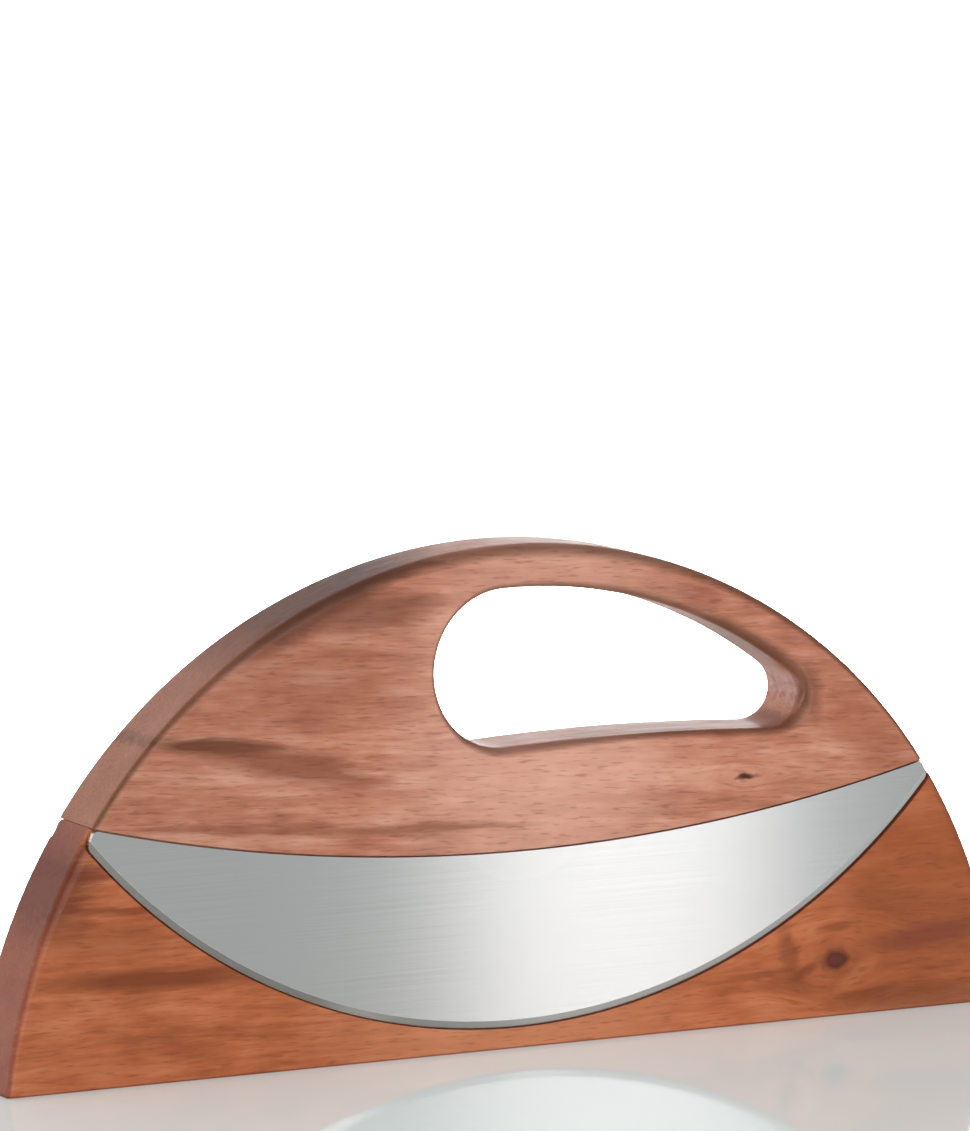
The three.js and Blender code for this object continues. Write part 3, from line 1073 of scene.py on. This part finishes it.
def softbox(name, place, aim, width, height, brightness):
    """A soft rectangular light; brightness is what its surface shows."""
    data = bpy.data.lights.new(name, "AREA")
    data.shape = "RECTANGLE"
    data.size = width
    data.size_y = height
    data.energy = brightness * math.pi * width * height
    lamp = bpy.data.objects.new(name, data)
    lamp.location = place
    lamp.rotation_euler = (Vector(aim) - Vector(place)).to_track_quat("-Z", "Y").to_euler()
    lamp.visible_camera = False
    bpy.context.scene.collection.objects.link(lamp)


def snoot(name, place, aim, angle, power, radius):
    """A lamp in a tube, for a soft round pool of light; degrees, watts and the lamp's radius in metres."""
    data = bpy.data.lights.new(name, "SPOT")
    data.energy = power
    data.spot_size = math.radians(angle)
    data.spot_blend = 1.0
    data.shadow_soft_size = radius
    lamp = bpy.data.objects.new(name, data)
    lamp.location = place
    lamp.rotation_euler = (aim - place).to_track_quat("-Z", "Y").to_euler()
    bpy.context.scene.collection.objects.link(lamp)


def around(azimuth, rise, distance):
    """A place round the object: degrees to the right of the front, degrees up, metres away."""
    a, e = math.radians(azimuth), math.radians(rise)
    return Vector((math.sin(a) * math.cos(e), -math.cos(a) * math.cos(e), math.sin(e))) * distance


def backdrop(tree):
    """Strength of the surroundings: a white sweep behind the object, a dim room in front of it."""
    way = add(tree, "ShaderNodeTexCoord", out="Generated")
    depth = add(tree, "ShaderNodeSeparateXYZ", [way], out="Y")
    turn_white = [depth, -0.25, 0.45, ROOM, SWEEP]
    room = add(tree, "ShaderNodeMapRange", turn_white, interpolation_type="SMOOTHSTEP")
    seen = add(tree, "ShaderNodeLightPath", out="Is Camera Ray")
    return add(tree, "ShaderNodeMath", [room, seen], operation="MAXIMUM")


def studio():
    """Surroundings and lamps."""
    world = bpy.data.worlds.new("studio")
    world.use_nodes = True
    tree = world.node_tree
    tree.nodes.clear()
    sky = add(tree, "ShaderNodeBackground", {"Color": linear("#FFFFFF"), "Strength": backdrop(tree)})
    add(tree, "ShaderNodeOutputWorld", [sky])
    bpy.context.scene.world = world
    middle = Vector((0.02, 0.0, 0.05))
    # Broad light from the front, a card that the blade mirrors, one for the left end, strips for the
    # crest, a box for the rear, and pools on the handle's middle and the grip opening's right-hand wall
    softbox("front_box", around(-4, 12, 4.0), middle, 2.8, 2.0, 4.3)
    softbox("blade_card", (0.677, -1.2, 0.18), Vector((0.04, 0.0, 0.04)), 0.12, 0.36, 2.45)
    softbox("left_card", around(-90, 25, 1.2), middle, 0.6, 0.5, 2.5)
    softbox("back_strip", around(152, 8, 1.6), middle, 0.8, 0.25, 10.0)
    softbox("crest_strip", around(165, 20, 1.6), middle, 1.2, 0.4, 3.8)
    softbox("rear_box", around(232, 12, 2.0), middle, 1.0, 1.0, 2.6)
    snoot("pool", around(12, 8, 1.3), Vector((0.0, 0.0, 0.055)), 10.5, 13.0, 0.1)
    snoot("toe_light", around(-62, 6, 1.3), Vector((0.072, 0.0, 0.076)), 6.0, 24.0, 0.03)
    bpy.context.scene.view_settings.view_transform = "Standard"


# Assembly


def dress(piece, material, body, node):
    """Gives a piece its material, puts it on the body that it rides on, and hides the solid that it stands
    for.
    """
    piece.data.materials.clear()
    piece.data.materials.append(material)
    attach(piece, body)
    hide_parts(node)


camera()
floor()
studio()

dress(handle(), oiled_acacia("oiled_acacia_handle", HANDLE_BOARD), "knife", "handle")
dress(stand(), oiled_acacia("oiled_acacia_stand", STAND_BOARD), "stand", "stand_block")
steel = brushed_stainless()
blade_tree = crescent_blade_tree()
for node, turn in (("front_blade", 0.0), ("rear_blade", math.pi)):
    dress(blade(node + "_steel", blade_tree, turn, steel), steel, "knife", node)
pin_steel = turned_steel()
for name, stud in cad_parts.items():
    if "_stud_" in name:
        stud.data.materials.clear()
        stud.data.materials.append(pin_steel)
